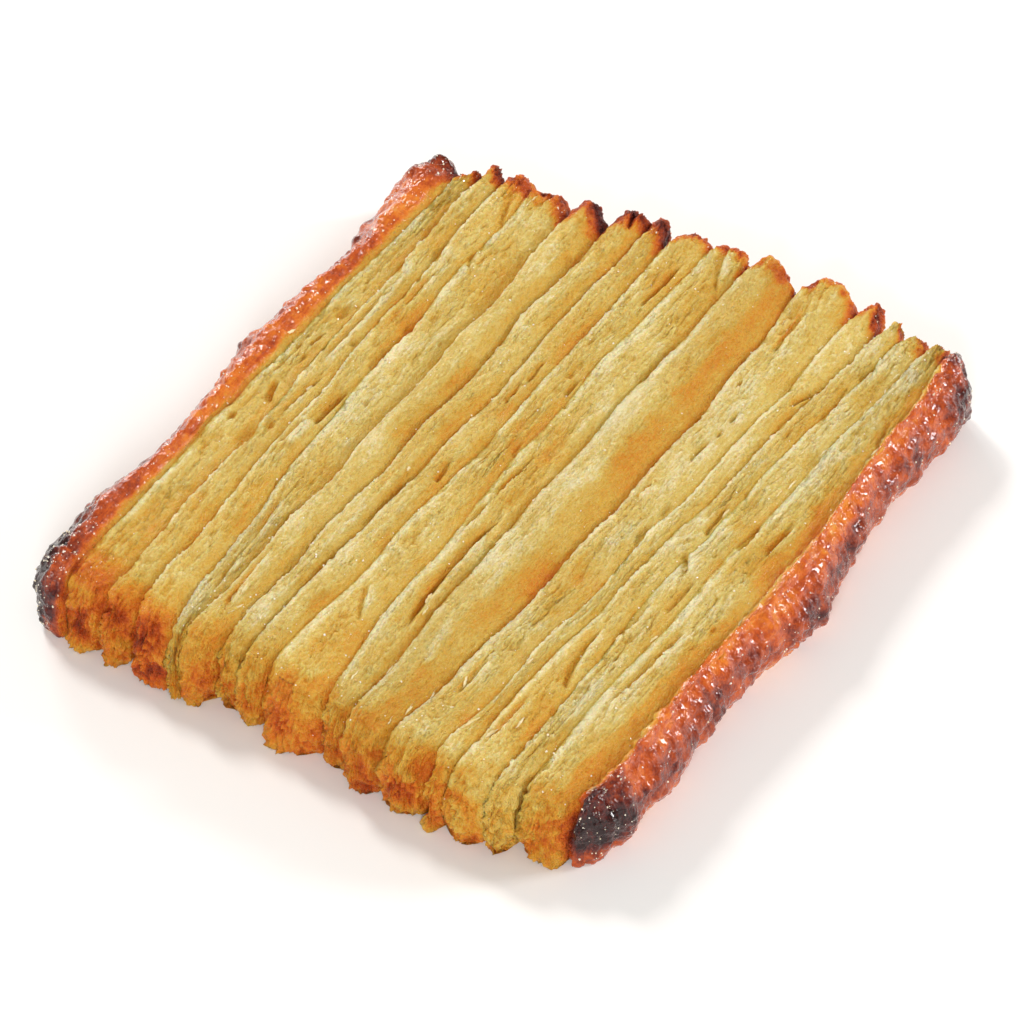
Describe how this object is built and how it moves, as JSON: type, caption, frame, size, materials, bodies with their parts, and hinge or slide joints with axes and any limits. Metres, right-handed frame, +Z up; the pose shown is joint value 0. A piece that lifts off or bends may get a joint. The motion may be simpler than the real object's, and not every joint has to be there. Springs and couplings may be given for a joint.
{
  "type": "puff pastry straw",
  "caption": "Baked slab of puff pastry, laid on its cut side so that the layers stand open as long ridges, with lobed ends and two glazed sides.",
  "frame": {"origin": "middle of the underside, on the surface that the pastry lies on", "axes": "+X across the layers, towards the side with the swelling glazed rim, +Y along the layers, +Z up from the underside to the ridged top"},
  "size_m": [0.1004, 0.1172, 0.0136],
  "materials": {
    "baked_crust": "dry flaky golden crust, glossy and red-brown where the sugar has caramelised on the two long sides and the lobes' tips"
  },
  "bodies": {
    "root": {"pastry_slab": "baked_crust"}
  },
  "joints": []
}
